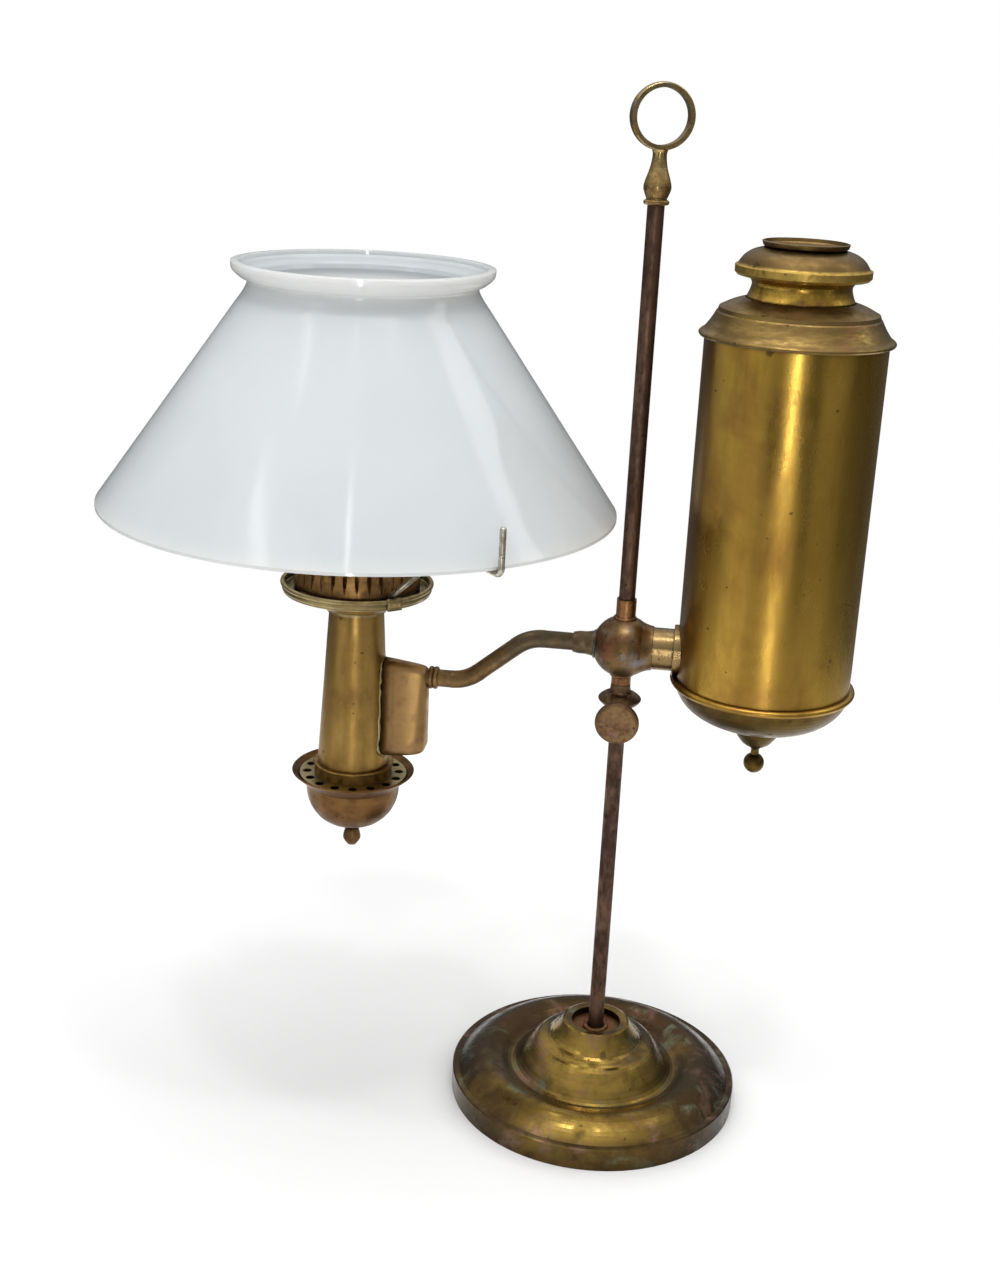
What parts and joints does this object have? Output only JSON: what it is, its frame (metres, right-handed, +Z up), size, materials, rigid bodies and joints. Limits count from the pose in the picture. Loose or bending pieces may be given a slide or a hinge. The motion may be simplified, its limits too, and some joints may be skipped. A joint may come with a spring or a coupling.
{
  "type": "student lamp",
  "caption": "Brass student oil lamp: weighted foot, rod with carrying ring, sliding clamped body with oil tank, Argand burner and white opal shade.",
  "frame": {"origin": "on the table under the rod's axis, at the centre of the foot's flat underside", "axes": "+Z up along the rod; +X from the burner to the tank; -Y to the front, where the thumbscrew is"},
  "size_m": [0.3768, 0.254, 0.5194],
  "materials": {
    "golden_brass": "aged satin brass with brown patina",
    "brown_brass": "brown aged brass with rubbed edges",
    "copper_brass": "coppery aged brass",
    "pale_brass": "pale greyish brass",
    "dark_rod": "dark brown patina",
    "nickel_wire": "dull nickel",
    "cast_weight": "rough cast",
    "opal_glass": "glossy white opal glass",
    "wick_cotton": "woven cotton",
    "valve_leather": "oiled leather"
  },
  "bodies": {
    "stand": {"base_shell": "golden_brass", "base_weight": "cast_weight", "base_plate": "cast_weight", "rod_nut": "cast_weight", "recess_disc": "copper_brass", "rod": "dark_rod", "ring_handle": "brown_brass"},
    "collar": {"clamp_collar": "brown_brass"},
    "thumb_stem": {"thumbscrew_stem": "brown_brass"},
    "thumb_head": {"thumbscrew_head": "brown_brass"},
    "lamp": {"hub": "brown_brass", "hub_sleeve": "copper_brass", "tank_pipe": "golden_brass", "tank_ring": "golden_brass", "arm_socket": "copper_brass", "feed_pipe": "copper_brass", "feed_pipe_beads": "copper_brass", "tank_casing": "golden_brass", "tank_bead": "golden_brass", "tank_dome": "golden_brass", "tank_boss": "golden_brass", "tank_finial": "golden_brass", "valve_peg": "golden_brass", "feed_box": "copper_brass", "feed_box_seam": "copper_brass", "burner_tube": "golden_brass", "draft_tube": "golden_brass", "burner_floor": "golden_brass", "shade_ring": "pale_brass", "shade_arm_1": "nickel_wire", "shade_arm_2": "nickel_wire", "shade_arm_3": "nickel_wire"},
    "font": {"font_bottle": "golden_brass", "font_shoulder": "brown_brass", "font_neck": "golden_brass", "font_grip": "brown_brass", "font_dish": "brown_brass", "valve_seat": "pale_brass"},
    "font_valve": {"valve_stem": "pale_brass", "valve_washer": "valve_leather"},
    "gallery": {"gallery_sleeve": "copper_brass", "gallery_plate": "copper_brass", "gallery_crown": "copper_brass"},
    "wick": {"wick": "wick_cotton", "wick_carrier": "golden_brass"},
    "shade": {"shade": "opal_glass"},
    "drip_cup": {"cup_band": "golden_brass", "air_plate": "pale_brass", "drip_bowl": "copper_brass", "cup_knob": "golden_brass"}
  },
  "joints": [
    {"name": "height_slide", "type": "slide", "parent": "stand", "child": "collar", "axis": [0, 0, 1], "range_m": [-0.12, 0.1]},
    {"name": "body_swing", "type": "hinge", "parent": "collar", "child": "lamp", "pos_m": [0, 0, 0.2525], "axis": [0, 0, 1], "continuous": true},
    {"name": "thumbscrew_advance", "type": "slide", "parent": "collar", "child": "thumb_stem", "axis": [0, -1, 0], "range_m": [0, 0.0015]},
    {"name": "thumbscrew_turn", "type": "hinge", "parent": "thumb_stem", "child": "thumb_head", "pos_m": [0, -0.0142, 0.2167], "axis": [0, -1, 0], "range_deg": [0, 720]},
    {"name": "font_lift", "type": "slide", "parent": "lamp", "child": "font", "axis": [0, 0, 1], "range_m": [0, 0.17]},
    {"name": "valve_drop", "type": "slide", "parent": "font", "child": "font_valve", "axis": [0, 0, 1], "range_m": [-0.003, 0]},
    {"name": "gallery_turn", "type": "hinge", "parent": "lamp", "child": "gallery", "pos_m": [-0.135, 0, 0.27], "axis": [0, 0, 1], "range_deg": [-180, 180]},
    {"name": "wick_raise", "type": "slide", "parent": "lamp", "child": "wick", "axis": [0, 0, 1], "range_m": [-0.008, 0.008]},
    {"name": "shade_lift", "type": "slide", "parent": "lamp", "child": "shade", "axis": [0, 0, 1], "range_m": [0, 0.06]},
    {"name": "drip_cup_twist", "type": "hinge", "parent": "lamp", "child": "drip_cup", "pos_m": [-0.135, 0, 0.17], "axis": [0, 0, 1], "range_deg": [0, 40]}
  ],
  "couplings": [
    {"joint": "thumbscrew_advance", "follows": "thumbscrew_turn", "m_per_rad": 0.00011937},
    {"joint": "valve_drop", "follows": "font_lift", "ratio": -0.017647},
    {"joint": "wick_raise", "follows": "gallery_turn", "m_per_rad": 0.0025465}
  ]
}
